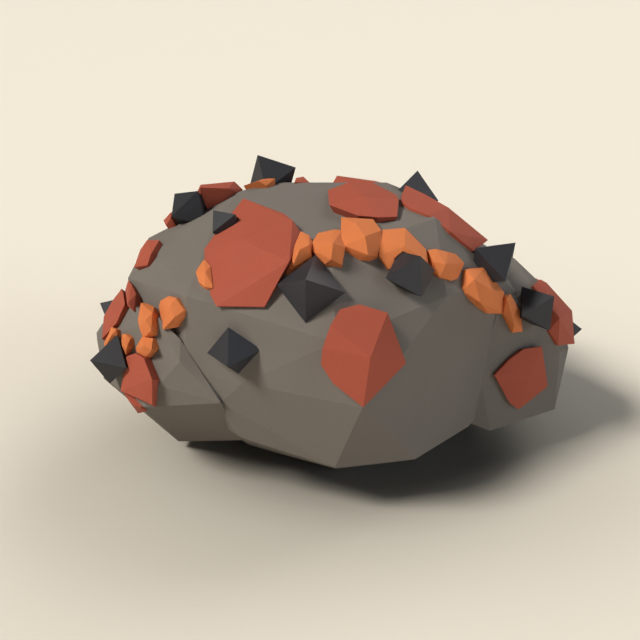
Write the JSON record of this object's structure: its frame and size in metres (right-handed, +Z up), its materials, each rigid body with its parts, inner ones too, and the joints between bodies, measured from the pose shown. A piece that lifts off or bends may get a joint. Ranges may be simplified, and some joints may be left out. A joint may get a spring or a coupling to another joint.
{
  "type": "iron ore specimen",
  "caption": "Faceted grey-brown boulder with a lobe at each end, set with red hematite plates, black magnetite octahedra and strings of orange limonite beads",
  "frame": {"origin": "middle of the bounding box in plan, on the floor the rock rests on", "axes": "+X along the rock's length towards its right end as pictured, -Y to the pictured face, +Z up"},
  "size_m": [0.1808, 0.1378, 0.0994],
  "materials": {
    "host_rock": "dull, rough broken rock",
    "hematite": "matte, earthy",
    "limonite": "matte, earthy",
    "magnetite": "smooth, half-glossy crystal faces"
  },
  "bodies": {
    "root": {"host_rock": "host_rock", "hematite_crown": "hematite", "hematite_crown_chip": "hematite", "hematite_front": "hematite", "hematite_left_brow": "hematite", "hematite_left_crown": "hematite", "hematite_left_end": "hematite", "hematite_left_lobe": "hematite", "hematite_left_lobe_brow": "hematite", "hematite_left_lobe_foot": "hematite", "hematite_left_notch": "hematite", "hematite_left_rear_chip": "hematite", "hematite_left_shoulder": "hematite", "hematite_rear_crown": "hematite", "hematite_rear_left": "hematite", "hematite_rear_low": "hematite", "hematite_rear_right": "hematite", "hematite_rear_shoulder": "hematite", "hematite_right_end": "hematite", "hematite_right_lobe": "hematite", "hematite_right_lobe_top": "hematite", "hematite_right_rear_chip": "hematite", "hematite_right_ridge": "hematite", "limonite_crown_bead": "limonite", "limonite_left_bead": "limonite", "limonite_left_lobe_bead": "limonite", "limonite_left_lobe_chip": "limonite", "limonite_left_string": "limonite", "limonite_rear_bead": "limonite", "limonite_rear_left_bead": "limonite", "limonite_rear_right_bead": "limonite", "limonite_rear_vein": "limonite", "limonite_round_bead": "limonite", "limonite_vein": "limonite", "limonite_vein_bead": "limonite", "limonite_vein_end": "limonite", "magnetite_crown": "magnetite", "magnetite_front": "magnetite", "magnetite_front_left": "magnetite", "magnetite_left_crown": "magnetite", "magnetite_left_lobe": "magnetite", "magnetite_left_rear": "magnetite", "magnetite_left_small": "magnetite", "magnetite_rear_foot": "magnetite", "magnetite_rear_left": "magnetite", "magnetite_rear_middle": "magnetite", "magnetite_rear_right": "magnetite", "magnetite_ridge": "magnetite", "magnetite_right_brow": "magnetite", "magnetite_right_lobe": "magnetite", "magnetite_right_rear": "magnetite", "magnetite_vein": "magnetite"}
  },
  "joints": []
}
